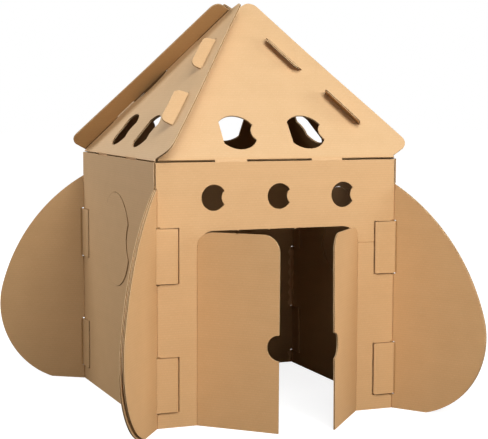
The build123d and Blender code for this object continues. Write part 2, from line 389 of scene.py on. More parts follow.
def notched_round(cut, inset=0.0):
    """Round cut-out with a bump reaching in on its right and, with a hinge, a straight left."""
    radius, hinge, depth, bump_half = cut
    bump = (bump_half ** 2 + depth ** 2) / (2 * depth)
    bump_x = sqrt(radius ** 2 - bump_half ** 2) - depth + bump
    radius, bump = radius - inset, bump + inset
    meet_x = (radius ** 2 - bump ** 2 + bump_x ** 2) / (2 * bump_x)
    meet = atan2(sqrt(radius ** 2 - meet_x ** 2), meet_x)
    on_bump = atan2(sqrt(radius ** 2 - meet_x ** 2), bump_x - meet_x)
    if hinge:
        turn = acos(-hinge / radius)
        round_part = np.vstack((arc((0, 0), radius, meet, turn),
                                arc((0, 0), radius, 2 * pi - turn, 2 * pi - meet)))
    else:
        round_part = arc((0, 0), radius, meet, 2 * pi - meet)
    bump_part = arc((bump_x, 0), bump, pi + on_bump, pi - on_bump)
    return densify(np.vstack((round_part, bump_part[1:-1])))


def fin_outline(sizes, swell):
    """One fin layer, flat: the crease along x = 0, the belly bulging away from it, foot on the
    floor. Towards the foot it reaches further out, by up to the swell."""
    belly_r = sizes.fin_belly_radius
    belly = (sizes.fin_reach - belly_r, sizes.fin_belly_height)
    foot = -atan2(belly[1], sqrt(belly_r ** 2 - belly[1] ** 2))
    low = arc(belly, belly_r, foot, FIN_SHOULDER)
    low[:, 0] += swell * np.clip((belly[1] - low[:, 1]) / belly_r, 0, 1) ** SWELL_POWER
    shoulder, top = low[-1], np.array((0, sizes.fin_top))
    inward = -np.array((cos(FIN_SHOULDER), sin(FIN_SHOULDER)))
    chord = top - shoulder
    brow_r = chord @ chord / (2 * inward @ chord)
    brow = shoulder + inward * brow_r
    last = atan2(top[1] - brow[1], top[0] - brow[0])
    high = arc(brow, brow_r, FIN_SHOULDER, last)
    start = np.array([(-FIN_BEND, 0)])
    end = np.array([(-FIN_BEND, sizes.fin_top)])
    return densify(np.vstack((start, low, high[1:], end)))


def turned(outline, angle, place):
    """Outline turned anticlockwise about the origin and then moved."""
    spin = np.array(((cos(angle), sin(angle)), (-sin(angle), cos(angle))))
    return outline @ spin + np.array(place)


def mirrored(outline, side):
    """Outline as it is for side 1, or mirrored to the left for side -1."""
    return outline if side > 0 else (outline * (-1, 1))[::-1]


def inside(outline, points):
    """For each point, whether it is inside the closed outline."""
    found = np.zeros(len(points), bool)
    low, high = outline.min(0), outline.max(0)
    near = np.all((points > low) & (points < high), axis=1)
    x, y = points[near].T
    hit = np.zeros(len(x), bool)
    for (ax, ay), (bx, by) in zip(outline, np.roll(outline, -1, axis=0)):
        if ay != by:
            crosses = (ay > y) != (by > y)
            hit ^= crosses & (x < (bx - ax) * (y - ay) / (by - ay) + ax)
    found[near] = hit
    return found


class Blank:
    """A flat sheet on the cutting die: parts and cut-outs are laid one over the other."""

    def __init__(self):
        self.layers = []
        self.points = []
        self.edges = []

    def draw(self, line, closed=True):
        first = sum(len(points) for points in self.points)
        self.points.append(np.asarray(line, float))
        count = len(line)
        self.edges += [(first + i, first + i + 1) for i in range(count - 1)]
        if closed:
            self.edges.append((first + count - 1, first))

    def add(self, part, outline):
        self.layers.append((part, outline))
        self.draw(outline)

    def cut(self, outline):
        self.add(None, outline)

    def press(self, part, start, bottom, end, top):
        """A pressed strip with steep sides, its two ends in either order."""
        left, right = min(start, end), max(start, end)
        wall = PRESS_WALL
        self.draw(rectangle(left - wall, bottom - wall, right + wall, top + wall))
        self.add(part, rectangle(left, bottom, right, top))

    def crease_rows(self, place, bend, low, high, upright=True):
        """Rows of points along a bend, close enough together for it to look round."""
        count = max(2, int(ceil((high - low) / EDGE_STEP)))
        along = np.linspace(low, high, count + 1)
        for across in np.linspace(-bend, bend, CREASE_ROWS):
            row = np.full(len(along), place + across)
            self.draw(np.column_stack((row, along) if upright else (along, row)), closed=False)

    def grid(self, low, high):
        """Loose points all over the sheet, so that it can bow."""
        xs = np.arange(low[0], high[0], GRID_STEP)
        ys = np.arange(low[1], high[1], GRID_STEP)
        x, y = np.meshgrid(xs, ys)
        x = x + (np.arange(len(ys)) % 2)[:, None] * GRID_STEP / 2
        self.points.append(np.column_stack((x.ravel(), y.ravel())))

    def mesh(self):
        """Points, triangles and the part that each triangle belongs to."""
        points = [Vector(p) for p in np.vstack(self.points)]
        flat, _, faces, *_ = delaunay_2d_cdt(points, self.edges, [], 0, MERGE, False)
        flat = np.array([tuple(p) for p in flat])
        faces = np.array(faces)
        middles = flat[faces].mean(axis=1)
        parts = np.full(len(faces), "", dtype=object)
        for part, outline in self.layers:
            parts[inside(outline, middles)] = part or ""
        kept = parts != ""
        a, b, c = (flat[faces[kept][:, i]] for i in range(3))
        (bx, by), (cx, cy) = (b - a).T, (c - a).T
        turn = bx * cy - by * cx
        sound = np.abs(turn) > SLIVER
        faces, parts, turn = faces[kept][sound], parts[kept][sound], turn[sound]
        faces[turn < 0] = faces[turn < 0][:, ::-1]
        used, again = np.unique(faces, return_inverse=True)
        return flat[used], again.reshape(faces.shape), parts


def rim(flat, faces, parts):
    """Open edges of a flat mesh, each as point, next point and part."""
    owner = {}
    for face, part in zip(faces, parts):
        for i in range(3):
            owner[(face[i], face[(i + 1) % 3])] = part
    return [(a, b, part) for (a, b), part in owner.items() if (b, a) not in owner]


def miters(flat, edges):
    """For each point on the rim, the step into the board that runs parallel to both its edges."""
    before, after = {}, {}
    for a, b, _ in edges:
        d = flat[b] - flat[a]
        d = np.array((-d[1], d[0])) / np.linalg.norm(d)
        after[a] = d
        before[b] = d
    step = {}
    for point, normal in after.items():
        other = before.get(point, normal)
        both = normal + other
        size = both @ both
        sharp = size <= 1
        step[point] = both / max(sqrt(size), 1e-6) * MITER_LIMIT if sharp else both * 2 / size
    return step


# Folding


def fold(along, lift, angle, bend):
    """Bends a strip at along = 0 by an angle: how far along and out each point ends up."""
    radius = bend / tan(angle / 2)
    turn = np.clip((along + bend) / (2 * bend), 0, 1) * angle
    before = np.minimum(along + bend, 0) - bend
    beyond = np.maximum(along - bend, 0)
    run = before + (radius - lift) * np.sin(turn) + beyond * cos(angle)
    out = radius - (radius - lift) * np.cos(turn) + beyond * sin(angle)
    return run, out


def pressed(along, lift, bend, bead):
    """Thins the board along a crease at along = 0: one valley, or two with a bead between them."""
    near = np.clip(np.abs(along) / bend, 0, 1)
    valley = np.sin(near * pi) ** 2 if bead else np.cos(near * pi / 2) ** 2
    return lift * (1 - CREASE_PRESS * valley)


class Folding:
    """Takes points of a flat sheet, at a height above its inner face, to their folded place."""

    def __init__(self, facing, tabbed_sides, shape):
        self.sizes, self.openings, *_ = settings()
        self.outward = np.array((cos(facing), sin(facing), 0.0))
        self.along = np.array((-sin(facing), cos(facing), 0.0))
        self.tabbed_sides = tabbed_sides
        self.shape = shape
        self.half = self.sizes.cabin_width / 2
        self.slope = atan2(self.sizes.roof_rise, self.half)
        self.slope_length = hypot(self.half, self.sizes.roof_rise)
        self.lean = atan2(self.half, self.slope_length)

    def wall(self, x, y, lift, _):
        bow = np.cos(np.clip(x / self.half, -1, 1) * pi / 2) ** 2
        rise = np.sin(np.clip(y / self.sizes.wall_height, 0, 1) * pi)
        return x, y, lift + self.shape["wall"] * bow * rise

    def groove(self, x, y, lift, _):
        return self.wall(x, y, lift * GROOVE_FLOOR - GROOVE_SINK, 0)

    def mark(self, x, y, lift, _):
        return self.wall(x, y, lift * GROOVE_FLOOR - MARK_SINK, 0)

    def score(self, x, y, lift, _):
        return self.wall(x, y, np.minimum(lift, self.sizes.board - SCORE[1]), 0)

    def flap(self, x, y, lift, _):
        swung = np.maximum(x + FLAP_CUT[1], 0) * FLAP_PROUD
        return self.wall(x, y, lift + swung, 0)

    def fin(self, x, y, lift, side):
        swing = self.sizes.fin_swing
        distance = side * x - self.half
        share = np.clip(distance / self.sizes.fin_reach, 0, 1)
        sway = np.sin((y / self.sizes.fin_top + self.shape["fin_shift"]) * 2 * pi)
        bow = self.shape["fin"] * share ** 2 * (sway - 1) / 2
        if side in self.tabbed_sides:
            swing = pi / 2 - swing - self.shape["gape"]
            below = np.clip((self.sizes.fin_belly_height - y) / CURL_RISE, 0, 1)
            bow += self.shape["curl"] * np.clip(1 - (1 - share) / CURL_SHARE, 0, 1) ** 2 * below
        lift = pressed(distance, lift, FIN_BEND, True) + bow
        run, out = fold(distance, lift, swing + FIN_SPLAY, FIN_BEND)
        return side * (self.half + run), y, out

    def nick(self, x, y, lift, side):
        return self.fin(x, y, lift * GROOVE_FLOOR, side)

    def tab(self, x, y, lift, side):
        start = self.half + self.sizes.board
        lip = self.sizes.tab_reach - LIP_LENGTH
        distance, lift = fold(side * x - start - lip, lift, -LIP_DIP, LIP_BEND)
        run, out = fold(distance + lip, lift, TAB_LIFT - pi / 2, TAB_BEND)
        return side * (start + run), y, out

    def leaf(self, x, y, lift, side):
        hinge = self.openings.door_width / 2
        swings = self.openings.left_leaf_swing, self.openings.right_leaf_swing
        distance = hinge - side * x
        share = np.clip(distance / hinge, 0, 1)
        bow = self.shape["leaf"] * share ** 2 * np.cos(y / self.openings.door_height * pi)
        lift = pressed(distance, lift, LEAF_BEND, False) + bow
        run, out = fold(distance, lift, swings[side > 0], LEAF_BEND)
        return side * (hinge - run), y, out

    def roof(self, x, y, lift, _):
        up = y - self.sizes.wall_height
        right = (x - self.half) * cos(self.lean) + up * sin(self.lean)
        left = (-x - self.half) * cos(self.lean) + up * sin(self.lean)
        depth = self.half * cos(self.lean)
        sag = np.clip(-right / depth, 0, 1) * np.clip(-left / depth, 0, 1)
        sag = 4 * sag * np.clip(up / self.slope_length, 0, 1) * self.shape["roof"]
        past_right = np.maximum(right, 0) / self.sizes.flange_width
        past_left = np.maximum(left, 0) / self.sizes.roof_tab_reach
        wave = np.sin(up / self.slope_length * 2 * pi + self.shape["flange_shift"])
        lower, upper = self.shape["roof_tab"]
        tab_curl = np.where(up < sum(ROOF_TAB_PLACES) / 2 * cos(self.lean), lower, upper)
        curl = self.shape["flange"] * past_right ** 2 * wave + tab_curl * past_left ** 2
        at_fold = np.clip(2 - 2 * np.abs(up) / EAVE_BEND, 0, 1)
        lift = lift * (1 - self.shape["eave_press"] * at_fold)
        run, out = fold(up, lift + sag + curl, self.slope - pi / 2, EAVE_BEND)
        return x, self.sizes.wall_height + run, out

    def place(self, flat, lift, part):
        """World points for flat points of one part, at one height or a height for each."""
        kind, _, side = part.partition(":")
        lift = np.broadcast_to(np.asarray(lift, float), (len(flat),))
        x, y, out = getattr(self, kind)(flat[:, 0], flat[:, 1], lift, int(side or 0))
        world = np.outer(self.half + out, self.outward) + np.outer(x, self.along)
        world[:, 1] += CABIN_BACK
        world[:, 2] = y
        return world


# Cutting and folding a sheet

# Places of the three papers in a sheet's list of materials
FACE_KIND, CUT_KIND, FLUTING_KIND = range(3)


def draw_tab(blank, sizes, side, height):
    """An upright tab in its window, with the fold beside the fin and the lip at its end."""
    start, low = sizes.cabin_width / 2, height - sizes.tab_length / 2
    reach = sizes.board + sizes.tab_reach
    tab = rounded_end(-FIN_BEND, reach, sizes.tab_length, CORNER_ROUND)
    blank.add(f"tab:{side}", mirrored(tab + (start, height), side))
    for fold_at, bend in ((sizes.board, TAB_BEND), (reach - LIP_LENGTH, LIP_BEND)):
        blank.crease_rows(side * (start + fold_at), bend, low, low + sizes.tab_length)


def press_around_tab(blank, sizes, side, height, slot_reach):
    """What the next sheet's tab leaves in this one: the slit for its lip, marks along its two
    edges, a nick beyond the slot and the slot's dark ends."""
    half = sizes.cabin_width / 2
    low, high = height - sizes.tab_length / 2, height + sizes.tab_length / 2
    slit, tab_end = (sizes.tab_length + SLOT_PLAY) / 2, half - sizes.tab_reach
    mark = (tab_end + LIP_SLIT[1] + STRIP_GAP, half - SLOT_END[0] - STRIP_GAP)
    nick = (half + slot_reach + NICK[0], half + slot_reach + NICK[1])
    pocket = (half - SLOT_END[0], half - SLOT_END[1])
    strips = (
        ("groove:0", (tab_end - LIP_SLIT[0], tab_end + LIP_SLIT[1]), height - slit, height + slit),
        ("mark:0", mark, low - TAB_MARKS[1], low),
        ("mark:0", mark, high, high + TAB_MARKS[0]),
        (f"nick:{side}", nick, low, high),
        ("groove:0", pocket, low - SLOT_END[2], low - SLOT_WEB),
        ("groove:0", pocket, high + SLOT_WEB, high + SLOT_END[2]),
    )
    for part, (start, end), bottom, top in strips:
        blank.press(part, side * start, bottom, side * end, top)


def draw_fins_and_tabs(blank, sizes, tabbed_sides, shape):
    """A fin layer at each upright edge, with its slots, or its windows and the tabs in them."""
    half, board = sizes.cabin_width / 2, sizes.board
    # The slot ends where the rounded fold of the next sheet's tab comes through the fin
    fold_x = -TAB_BEND * cos(sizes.fin_swing)
    fold_y = (board - TAB_BEND) * sin(sizes.fin_swing)
    slot_reach = fold_x + fold_y + board + TAB_BEND + SLOT_ROOM
    window_reach = sizes.tab_reach + 2 * board + SLOT_PLAY
    eaves = sizes.wall_height - shape["slit"] / 2
    for side in (-1, 1):
        tabbed = side in tabbed_sides
        fin = fin_outline(sizes, shape["swell"] if tabbed else 0)
        blank.add(f"fin:{side}", mirrored(fin + (half, 0), side))
        reach, corner = (window_reach, CORNER_ROUND) if tabbed else (slot_reach, SLOT_PLAY / 2)
        cut = rounded_end(-FIN_BEND, reach, sizes.tab_length + 2 * SLOT_PLAY, corner)
        for height in TAB_HEIGHTS:
            blank.cut(mirrored(cut + (half, height), side))
            if tabbed:
                draw_tab(blank, sizes, side, height)
            else:
                press_around_tab(blank, sizes, side, height, slot_reach)
        blank.crease_rows(side * half, FIN_BEND, 0, sizes.fin_top)
        end = half - shape["corner_gap"][(side + 1) // 2]
        above = rectangle(half - FIN_BEND, sizes.fin_top + RELIEF, end, eaves)
        blank.add("wall:0", mirrored(above, side))


def draw_doorway(blank, sizes, openings):
    """The doorway, its two leaves, the torn bridges along its top and the portholes over it."""
    hinge, top = openings.door_width / 2, openings.door_height
    reach = hinge + LEAF_BEND
    corner = (hinge - DOOR_ROUND, top - DOOR_ROUND - LEAF_BEND)
    outer = arc(corner, DOOR_ROUND + LEAF_BEND, 0, pi / 2)
    opening = np.vstack(([(-reach, 0), (reach, 0)], outer, (outer * (-1, 1))[::-1]))
    blank.cut(densify(opening))
    free = CUT_WIDTH / 2
    leaf_top = top - CUT_WIDTH
    inner_corner = arc(corner, DOOR_ROUND + LEAF_BEND - CUT_WIDTH, 0, pi / 2)
    free_corner = arc((free + DOOR_ROUND, leaf_top - DOOR_ROUND), DOOR_ROUND, pi / 2, pi)
    hinge_side = [(free, 0), (reach, 0), (reach, corner[1] - CUT_WIDTH)]
    leaf = np.vstack((hinge_side, inner_corner, free_corner))
    for side in (-1, 1):
        blank.add(f"leaf:{side}", mirrored(densify(leaf), side))
        blank.crease_rows(side * hinge, LEAF_BEND, 0, corner[1])
    radius, height = FINGER_HOLE
    blank.cut(arc((0, height), radius, 0, 2 * pi)[:-1])
    wide, tall = NUB
    for place in NUB_PLACES:
        blank.cut(rectangle(place - wide, leaf_top - tall, place + wide, leaf_top + OVERLAP))
        nub = rectangle(place - wide / 2, top - tall, place + wide / 2, top + OVERLAP)
        blank.add("wall:0", nub)
    edge = sizes.cabin_width / 2 - sizes.tab_reach - LIP_SLIT[0] - STRIP_GAP
    blank.press("score:0", hinge + LEAF_BEND, SCORE_HEIGHT, edge, SCORE_HEIGHT + SCORE[0])
    for place in (-1, 0, 1):
        middle = (place * openings.porthole_spacing, openings.porthole_height)
        blank.cut(notched_round(PORTHOLE_CUT) + middle)


def draw_roof(blank, sizes, openings, folding):
    """Roof triangle with its windows, the slotted flange past its right ridge and two left tabs."""
    half, board, eaves, shape = folding.half, sizes.board, sizes.wall_height, folding.shape
    flange_angle = acos(cos(folding.slope) ** 2)
    tuck = board / tan(flange_angle) + shape["ridge_gap"]
    shift = tuck / cos(folding.lean)
    point = np.array((shift / 2, folding.slope_length * (1 - shift / (2 * half))))
    slit = shape["slit"] / 2
    rise = slit / point[1]
    left, right = np.array((shift - half, 0)), np.array((half, 0))
    triangle = np.array((left + (point - left) * rise, right + (point - right) * rise, point))
    for side in (-1, 1):
        place = side * BRIDGE_SPACING / 2
        low, high = place - BRIDGE_WIDTH / 2, place + BRIDGE_WIDTH / 2
        blank.add("roof:0", rectangle(low, eaves - slit, high, eaves + slit))
        blank.crease_rows(eaves, EAVE_BEND, low, high, upright=False)
        if shape["eave_press"] > HARD_PRESS:
            blank.press("mark:0", low, eaves - EAVE_MARK[0], high, eaves - EAVE_MARK[1])
    blank.add("roof:0", densify(triangle) + (0, eaves))

    def at_ridge(side, outline):
        """An outline drawn along x = 0, laid along the left or the right ridge."""
        return turned(outline, side * folding.lean, (side * half, eaves))

    ridge_length = hypot(half, folding.slope_length)
    flange_length = ridge_length - FLANGE_FOOT - FLANGE_HEAD
    flange = rounded_end(-board, sizes.flange_width, flange_length, FLANGE_ROUND)
    flange = flange + (0, FLANGE_FOOT + flange_length / 2)
    foot, head = shape["flange_trim"]
    trim = foot + (head - foot) * flange[:, 1] / ridge_length
    flange[:, 0] *= 1 + np.where(flange[:, 0] > 0, trim / sizes.flange_width, 0)
    blank.add("roof:0", at_ridge(1, flange))
    slot_inner = -board / tan(flange_angle) - SEAT
    slot_outer = board / sin(flange_angle) + SEAT
    slot_half = sizes.roof_tab_length / 2 + SEAT
    for place in ROOF_TAB_PLACES:
        slot = rectangle(slot_inner, place - slot_half, slot_outer, place + slot_half)
        blank.cut(at_ridge(1, slot))
    if shape["slot_gap"]:
        low, high = TORN_SLOT
        gap = rectangle(slot_outer - OVERLAP, low, slot_outer + shape["slot_gap"], high)
        blank.cut(at_ridge(1, gap))

    at_ridge_share, at_edge_share = TAB_SLANT
    for place, trim, short in zip(ROOF_TAB_PLACES, shape["tab_trim"], shape["tab_short"]):
        reach = sizes.roof_tab_reach + trim
        tab = rounded_end(-tuck - board, reach, sizes.roof_tab_length, ROOF_TAB_ROUND)
        outwards = np.clip(tab[:, 0] / reach, 0, 1)
        shorter = short * (at_ridge_share + (at_edge_share - at_ridge_share) * outwards)
        tab[:, 1] *= 1 - np.where(tab[:, 1] < 0, shorter * 2 / sizes.roof_tab_length, 0)
        blank.add("roof:0", at_ridge(-1, turned(tab, pi, (0, place))))
    if shape["ridge_sag"]:
        low, high = RIDGE_SAG
        lean, fullness = SAG_POWERS
        along = np.linspace(low, high, SAG_STATIONS)
        wave = np.sin(((along - low) / (high - low)) ** lean * pi).clip(0) ** fullness
        drawn_back = np.column_stack((tuck + shape["ridge_sag"] * wave, along))
        blank.cut(at_ridge(-1, np.vstack((drawn_back, [(-board, high), (-board, low)]))))
    for side in (-1, 1):
        middle = (side * openings.window_spacing / 2, eaves + openings.window_height)
        blank.cut(notched_round(WINDOW_CUT) + middle)


def draw_flap(blank, openings):
    """The round flap of a side wall, cut all round but for its hinge."""
    middle = np.array((0, openings.flap_height))
    blank.cut(notched_round(FLAP_CUT) + middle)
    blank.add("flap:0", notched_round(FLAP_CUT, CUT_WIDTH) + middle)


def open_flutes(folding, flat, edges, step, board):
    """Fluted paper that shows in the open edge between the liners, as closed wavy ribbons."""
    half = board.medium / 2
    middle = folding.sizes.board / 2
    swing = middle - board.liner - half
    station = board.flute_pitch / WAVE_SAMPLES
    follow = {a: (b, part) for a, b, part in edges}
    points, faces = [], []
    first = 0
    while follow:
        start = next(iter(follow))
        here, ring = start, []
        while here in follow:
            there, part = follow.pop(here)
            a, b = flat[here], flat[there]
            count = max(1, int(ceil(abs(b[1] - a[1]) / station)))
            share = np.arange(count)[:, None] / count
            edge = a + (b - a) * share
            inward = step[here] + (step[there] - step[here]) * share
            height = middle + swing * np.sin(edge[:, 1] * 2 * pi / board.flute_pitch)
            front = edge + inward * FLUTE_START
            back = edge + inward * (board.flute_depth + FLUTE_OVERRUN)
            corners = ((front, -half), (front, half), (back, half), (back, -half))
            corners = [folding.place(line, height + off, part) for line, off in corners]
            ring.append(np.stack(corners, axis=1).reshape(-1, 3))
            here = there
        ring = np.vstack(ring)
        points.append(ring)
        count = len(ring) // 4
        stations = np.arange(count)[:, None]
        base, ahead = first + 4 * stations, first + 4 * ((stations + 1) % count)
        corner, after = np.arange(4), (np.arange(4) + 1) % 4
        quads = np.stack((base + corner, ahead + corner, ahead + after, base + after), axis=-1)
        faces.append(quads.reshape(-1, 4))
        first += len(ring)
    return np.vstack(points), np.vstack(faces)


def build_sheet(name, node, facing, tabbed_sides, shape, doorway=False, flap=False):
    """Cuts, folds and finishes one sheet, and puts it in place of its CAD node."""
    sizes, openings, board, _ = settings()
    folding = Folding(facing, tabbed_sides, shape)
    half, thickness = folding.half, sizes.board
    blank = Blank()
    edge = half - FIN_BEND
    blank.add("wall:0", rectangle(-edge, 0, edge, sizes.wall_height - shape["slit"] / 2))
    draw_fins_and_tabs(blank, sizes, tabbed_sides, shape)
    draw_roof(blank, sizes, openings, folding)
    if doorway:
        draw_doorway(blank, sizes, openings)
    if flap:
        draw_flap(blank, openings)
    reach = half + sizes.fin_reach
    blank.grid((-reach, 0), (reach, sizes.wall_height + folding.slope_length))
    flat, triangles, parts = blank.mesh()

    # Each point goes with the most folded part that it touches
    owner = np.full(len(flat), "wall:0", dtype=object)
    for part in sorted(set(parts) - {"wall:0"}):
        owner[triangles[parts == part].ravel()] = part
    edges = rim(flat, triangles, parts)
    step = miters(flat, edges)
    rim_points = np.array(sorted(step))
    inner = flat[rim_points] + np.array([step[p] for p in rim_points]) * board.flute_depth

    def placed(points, which, lift):
        world = np.empty((len(points), 3))
        for part in set(owner[which]):
            mine = owner[which] == part
            world[mine] = folding.place(points[mine], lift, part)
        return world

    # The two faces, and in from the edge under each liner to the back of the open flutes
    everywhere, outer = np.arange(len(flat)), flat[rim_points]
    under, over = board.liner, thickness - board.liner
    levels = [placed(flat, everywhere, lift) for lift in (0, thickness)]
    levels += [placed(points, rim_points, lift) for points, lift in (
        (outer, under), (inner, under), (inner, over), (outer, over))]
    count, ring = len(flat), len(rim_points)
    order = {p: i for i, p in enumerate(rim_points)}
    ends = np.array([(a, b) for a, b, _ in edges])
    rim_ends = np.array([(order[a], order[b]) for a, b in ends])
    rows = [ends] + [2 * count + i * ring + rim_ends for i in range(4)] + [count + ends]
    strips = [np.column_stack((low, high[:, ::-1])) for low, high in zip(rows, rows[1:])]
    wave_points, wave_faces = open_flutes(folding, flat, edges, step, board)
    body = np.vstack(levels)
    everything = np.vstack((body, wave_points))
    faces = triangles[:, ::-1].tolist() + (triangles + count).tolist()
    for strip in strips:
        faces += strip.tolist()
    faces += (wave_faces + len(body)).tolist()

    mesh = bpy.data.meshes.new(name)
    mesh.from_pydata(everything.tolist(), [], faces)
    for material in board_materials():
        mesh.materials.append(material)
    # The liners' cut edges are the first and the last strip, and all else in the edge is fluting
    kinds = np.full(len(faces), FLUTING_KIND, np.int32)
    kinds[:2 * len(triangles)] = FACE_KIND
    for i in (0, len(strips) - 1):
        start = 2 * len(triangles) + i * len(edges)
        kinds[start:start + len(edges)] = CUT_KIND
    mesh.polygons.foreach_set("material_index", kinds)

    # Where each point lay on the flat sheet, for grain and flutes that follow the board
    on_sheet = np.zeros((len(everything), 3), np.float32)
    on_sheet[:len(body), :2] = np.vstack([flat] * 2 + [outer] * 4)
    on_sheet[count:2 * count, 2] = thickness
    # Both faces of a fin pass for the outer liner
    on_sheet[:count][[part.startswith("fin") for part in owner], 2] = thickness
    on_sheet[len(body):, :2] = wave_points[:, [0, 2]]
    attribute = mesh.attributes.new("on_sheet", "FLOAT_VECTOR", "POINT")
    attribute.data.foreach_set("vector", on_sheet.ravel())
    mesh.shade_smooth()
    mesh.set_sharp_from_angle(angle=SHARP)
    mesh.validate()
    mesh.update()

    sheet = bpy.data.objects.new(name, mesh)
    bpy.context.scene.collection.objects.link(sheet)
    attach(sheet, "root")
    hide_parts(node)


# Materials


def add_node(tree, kind, inputs=None, **options):
    """Adds a node, sets its options, and fills its inputs with values or other nodes' outputs."""
    node = tree.nodes.new(kind)
    for name, value in options.items():
        setattr(node, name, value)
    for socket, value in (inputs or {}).items():
        if isinstance(value, bpy.types.NodeSocket):
            tree.links.new(value, node.inputs[socket])
        else:
            node.inputs[socket].default_value = value
    return node


def new_material(name):
    """An empty node material and its tree."""
    material = bpy.data.materials.new(name)
    material.use_nodes = True
    material.node_tree.nodes.clear()
    return material, material.node_tree


def board_materials():
    """The three papers of the board, made once: outer face, cut liner edge and fluting."""
    makers = {"kraft_linerboard_uncoated": kraft_linerboard,
              "kraft_liner_die_cut": cut_liner,
              "fluting_medium": fluting}
    *_, board, _ = settings()
    return [bpy.data.materials.get(name) or make(name, board) for name, make in makers.items()]


def kraft_linerboard(name, board):
    """Uncoated kraft linerboard: a matt warm brown, cloudy, with long pale and dark fibres and
    a faint washboard where the flutes telegraph through."""
    material, tree = new_material(name)
    place = add_node(tree, "ShaderNodeAttribute", attribute_name="on_sheet").outputs["Vector"]
    parts = add_node(tree, "ShaderNodeSeparateXYZ", {"Vector": place})
    height = parts.outputs["Y"]

    # Clouds are 70 mm across, and flecks of bark 2.4 mm. Fibres are a few millimetres long and a
    # fraction of one wide; drawn three times as coarse to show. Level bands are 30 mm high
    fibre_size, band_size = (1 / (1.4 * MM), 1 / (9 * MM), 1.0), (1.2, 1 / (30 * MM), 1.0)
    fibre_place, band_place = (
        add_node(tree, "ShaderNodeMapping", {"Vector": place, "Scale": scale}).outputs["Vector"]
        for scale in (fibre_size, band_size))
    clouds, fibres, flecks, bands = (
        add_node(tree, "ShaderNodeTexNoise", {
            "Vector": where, "Scale": scale, "Detail": detail, "Roughness": rough}).outputs["Fac"]
        for where, scale, detail, rough in (
            (place, 1 / (70 * MM), 3.0, 0.55),
            (fibre_place, 1.0, 2.0, 0.6),
            (place, 1 / (2.4 * MM), 1.0, 0.5),
            (band_place, 1.0, 2.0, 0.5)))
    turns = add_node(tree, "ShaderNodeMath", {
        0: height, 1: 2 * pi / board.flute_pitch}, operation="MULTIPLY")
    washboard = add_node(tree, "ShaderNodeMath", {0: turns.outputs[0]}, operation="SINE")

    tint = (*board.kraft, 1)
    for noise, low, high, most, colour in (
            (clouds, 0.35, 0.68, 0.16, board.kraft_dark),
            (fibres, 0.5, 0.75, 0.6, board.kraft_pale),
            (flecks, 0.69, 0.74, 0.4, board.kraft_dark)):
        share = add_node(tree, "ShaderNodeMapRange", {
            "Value": noise, "From Min": low, "From Max": high, "To Max": most})
        tint = add_node(tree, "ShaderNodeMix", {
            "Factor": share.outputs["Result"], "A": tint, "B": (*colour, 1)},
            data_type="RGBA").outputs["Result"]
    band_tone = add_node(tree, "ShaderNodeMapRange", {
        "Value": bands, "From Min": 0.3, "From Max": 0.7, "To Min": 0.988, "To Max": 1.012})
    wash_tone = add_node(tree, "ShaderNodeMath", {
        0: washboard.outputs[0], 1: 0.022, 2: 0.985}, operation="MULTIPLY_ADD")
    tone = add_node(tree, "ShaderNodeMath", {
        0: band_tone.outputs["Result"], 1: wash_tone.outputs[0]}, operation="MULTIPLY")
    colour = add_node(tree, "ShaderNodeVectorMath", {
        0: tint, "Scale": tone.outputs[0]}, operation="SCALE")

    # Painted highlight: the roof's outer liner is painted a little paler and cooler
    on_roof = add_node(tree, "ShaderNodeMapRange", {
        "Value": height, "From Min": ROOF_START, "From Max": ROOF_START + ROOF_HIGHLIGHT_RAMP})
    outer = add_node(tree, "ShaderNodeMath", {
        0: parts.outputs["Z"], 1: MM}, operation="GREATER_THAN")
    outer_roof = add_node(tree, "ShaderNodeMath", {
        0: on_roof.outputs["Result"], 1: outer.outputs[0]}, operation="MULTIPLY")
    # Painted shade: the inner liner is darkened in a band along the right ridge, where the gap at
    # the ridge is in shade
    sizes, *_ = settings()
    half = sizes.cabin_width / 2
    lean = atan2(half, hypot(half, sizes.roof_rise))
    across = add_node(tree, "ShaderNodeVectorMath", {
        0: place, 1: (cos(lean), sin(lean), 0.0)}, operation="DOT_PRODUCT")
    ridge = half * cos(lean) + sizes.wall_height * sin(lean)
    off_ridge = add_node(tree, "ShaderNodeMath", {
        0: across.outputs["Value"], 1: ridge}, operation="SUBTRACT")
    near_ridge = add_node(tree, "ShaderNodeMath", {
        0: off_ridge.outputs[0], 1: RIDGE_SHADE_BAND[0], 2: RIDGE_SHADE_BAND[1]}, operation="COMPARE")
    inner = add_node(tree, "ShaderNodeMath", {0: 1.0, 1: outer.outputs[0]}, operation="SUBTRACT")
    ridge_shade_mask = add_node(tree, "ShaderNodeMath", {
        0: near_ridge.outputs[0], 1: inner.outputs[0]}, operation="MULTIPLY")
    # the painted highlight, on the roof's outer face only
    roof_highlight = add_node(tree, "ShaderNodeMix", {
        "Factor": outer_roof.outputs[0], "A": (1, 1, 1, 1), "B": (*ROOF_HIGHLIGHT_TINT, 1)}, data_type="RGBA")
    # Painted shade: the inner face is painted darker than the outer one
    faced = add_node(tree, "ShaderNodeMix", {
        "Factor": outer.outputs[0], "A": (*INNER_SHADE_TINT, 1), "B": roof_highlight.outputs["Result"]},
        data_type="RGBA")
    # the painted shade along the right ridge
    ridge_shaded = add_node(tree, "ShaderNodeMix", {
        "Factor": ridge_shade_mask.outputs[0], "A": faced.outputs["Result"], "B": (*RIDGE_SHADE, 1)},
        data_type="RGBA")
    finished = add_node(tree, "ShaderNodeVectorMath", {
        0: colour.outputs["Vector"], 1: ridge_shaded.outputs["Result"]}, operation="MULTIPLY")

